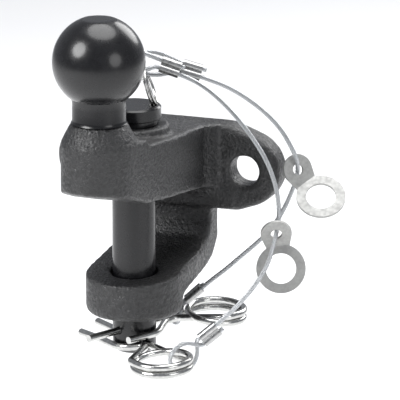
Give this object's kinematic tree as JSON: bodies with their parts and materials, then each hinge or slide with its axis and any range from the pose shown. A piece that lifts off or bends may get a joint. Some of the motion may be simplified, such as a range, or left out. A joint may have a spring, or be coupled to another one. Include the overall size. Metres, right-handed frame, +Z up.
{
  "type": "trailer hitch with ball",
  "caption": "Cast flange hitch with a 50 mm tow ball and a removable towing pin, locked by spring clips on wire rope lanyards.",
  "frame": {"origin": "middle of the two flange bolt holes on the flat mounting face", "axes": "+Y out of the mounting face towards the vehicle, +X to the side along the bolt line, +Z up along the towing pin and the ball's neck"},
  "size_m": [0.1721, 0.144, 0.1994],
  "materials": {
    "cast_black": "rough painted",
    "gloss_black": "gloss painted",
    "bright_wire": "bright zinc",
    "ferrule_alu": "satin",
    "zinc_plate": "zinc plated",
    "wire_rope": "galvanised"
  },
  "bodies": {
    "casting": {"hitch_casting": "cast_black", "tow_ball": "gloss_black"},
    "pin": {"towing_pin": "gloss_black", "back_upper_ferrule": "ferrule_alu", "front_upper_ferrule": "ferrule_alu", "back_lanyard_upper_eye": "wire_rope", "front_lanyard_upper_eye": "wire_rope", "back_lanyard_run": "wire_rope", "front_lanyard_run": "wire_rope"},
    "ring": {"head_split_ring": "bright_wire"},
    "back_clip": {"back_spring_clip": "bright_wire", "back_lower_ferrule": "ferrule_alu", "back_lanyard_lower_eye": "wire_rope"},
    "front_clip": {"front_spring_clip": "bright_wire", "front_lower_ferrule": "ferrule_alu", "front_lanyard_lower_eye": "wire_rope"},
    "upper_plate": {"upper_bolt_plate": "zinc_plate"},
    "lower_plate": {"lower_bolt_plate": "zinc_plate"}
  },
  "joints": [
    {"name": "pin_lift", "type": "slide", "parent": "casting", "child": "pin", "axis": [0, 0, 1], "range_m": [0, 0.0045]},
    {"name": "ring_turn", "type": "hinge", "parent": "pin", "child": "ring", "pos_m": [0.00399, -0.05356, 0.05537], "axis": [0.8962, 0.3262, 0.3007], "continuous": true},
    {"name": "back_clip_pull", "type": "slide", "parent": "pin", "child": "back_clip", "axis": [0.44, 0.898, 0], "range_m": [0, 0.05], "deforming": ["back_lanyard_run"]},
    {"name": "front_clip_pull", "type": "slide", "parent": "pin", "child": "front_clip", "axis": [0.8, -0.6, 0], "range_m": [0, 0.052], "deforming": ["front_lanyard_run"]},
    {"name": "upper_plate_swing", "type": "hinge", "parent": "pin", "child": "upper_plate", "pos_m": [0.0787, -0.021, 0.0059], "axis": [-0.2063, 0.4877, -0.8483], "range_deg": [-20, 20]},
    {"name": "lower_plate_swing", "type": "hinge", "parent": "pin", "child": "lower_plate", "pos_m": [0.0784, -0.0553, -0.0215], "axis": [-0.022, -0.5963, -0.8024], "range_deg": [-20, 20]}
  ]
}
